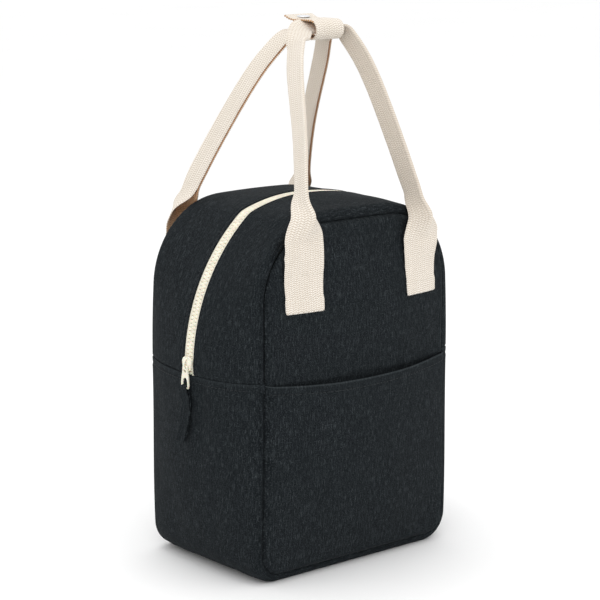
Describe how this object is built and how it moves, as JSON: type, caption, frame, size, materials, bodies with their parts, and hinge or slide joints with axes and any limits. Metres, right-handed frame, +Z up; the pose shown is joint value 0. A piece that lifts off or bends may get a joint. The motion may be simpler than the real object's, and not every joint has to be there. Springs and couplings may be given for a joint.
{
  "type": "insulated lunch bag",
  "caption": "Soft insulated lunch bag with front pocket, arched zip, two webbing handles and a wrap with a press stud.",
  "frame": {"origin": "centre of the flat underside, on the surface the bag stands on", "axes": "+Z up, the front with the pocket faces -Y, +X is to the right when looking at the front"},
  "size_m": [0.2507, 0.1777, 0.4449],
  "materials": {
    "cloth": "charcoal melange twill, matt",
    "webbing": "natural cotton webbing, ribbed",
    "foam": "closed-cell foam",
    "lining": "wipe-clean coated lining",
    "binding": "woven binding tape",
    "zip_plastic": "ivory moulded plastic, satin",
    "zip_tape": "ivory woven tape",
    "snap_metal": "nickel-plated press stud"
  },
  "bodies": {
    "bag": {"base_gusset": "cloth", "base_gusset_foam": "foam", "base_gusset_lining": "lining", "back_panel": "cloth", "back_panel_foam": "foam", "back_panel_lining": "lining", "front_panel_lower": "cloth", "front_panel_lower_foam": "foam", "front_panel_lower_lining": "lining", "front_pocket": "cloth", "zip_gusset_back": "cloth", "zip_gusset_back_foam": "foam", "zip_gusset_back_lining": "lining", "zip_tape_back": "zip_tape", "zip_teeth_back": "zip_plastic", "zip_stop_left": "zip_plastic", "zip_stop_right": "zip_plastic", "seam_binding_back": "binding", "seam_binding_front_lower": "binding", "back_handle_end_left": "webbing", "back_handle_end_right": "webbing"},
    "front_flap": {"front_panel_upper": "cloth", "front_panel_upper_foam": "foam", "front_panel_upper_lining": "lining", "zip_gusset_front": "cloth", "zip_gusset_front_foam": "foam", "zip_gusset_front_lining": "lining", "zip_tape_front": "zip_tape", "zip_teeth_front": "zip_plastic", "seam_binding_front_upper": "binding", "front_handle_end_left": "webbing", "front_handle_end_right": "webbing"},
    "front_handle": {"front_handle": "webbing", "handle_wrap": "webbing", "snap_stud": "snap_metal"},
    "wrap_flap": {"wrap_flap": "webbing", "snap_cap": "snap_metal", "snap_socket": "snap_metal"},
    "back_handle": {"back_handle": "webbing"},
    "slider": {"slider_body": "zip_plastic", "slider_bail": "zip_plastic"},
    "pull_tab": {"pull_tab": "zip_plastic"},
    "pull_tie": {"pull_tie": "cloth"}
  },
  "joints": [
    {"name": "mouth_open", "type": "hinge", "parent": "bag", "child": "front_flap", "pos_m": [0, -0.08223, 0.1665], "axis": [1, 0, 0], "range_deg": [0, 25]},
    {"name": "front_handle_fall", "type": "hinge", "parent": "front_flap", "child": "front_handle", "pos_m": [0, -0.07986, 0.2546], "axis": [1, 0, 0], "range_deg": [0, 85]},
    {"name": "back_handle_fall", "type": "hinge", "parent": "bag", "child": "back_handle", "pos_m": [0, 0.07986, 0.2546], "axis": [-1, 0, 0], "range_deg": [0, 118]},
    {"name": "wrap_flap_lift", "type": "hinge", "parent": "front_handle", "child": "wrap_flap", "pos_m": [0.016, 0.00465, 0.443], "axis": [1, 0, 0], "range_deg": [0, 150]},
    {"name": "slider_travel", "type": "hinge", "parent": "bag", "child": "slider", "pos_m": [0.0332, 0, 0.17104], "axis": [0, 1, 0], "range_deg": [0, 46]},
    {"name": "pull_tab_flip", "type": "hinge", "parent": "slider", "child": "pull_tab", "pos_m": [-0.1256, 0, 0.1745], "axis": [0, 1, 0], "range_deg": [0, 130]},
    {"name": "pull_tie_swing", "type": "hinge", "parent": "pull_tab", "child": "pull_tie", "pos_m": [-0.1256, 0, 0.157], "axis": [0, 1, 0], "range_deg": [0, 60]}
  ],
  "couplings": [
    {"joint": "front_handle_fall", "follows": "mouth_open", "ratio": 3.4},
    {"joint": "back_handle_fall", "follows": "mouth_open", "ratio": 4.7}
  ]
}
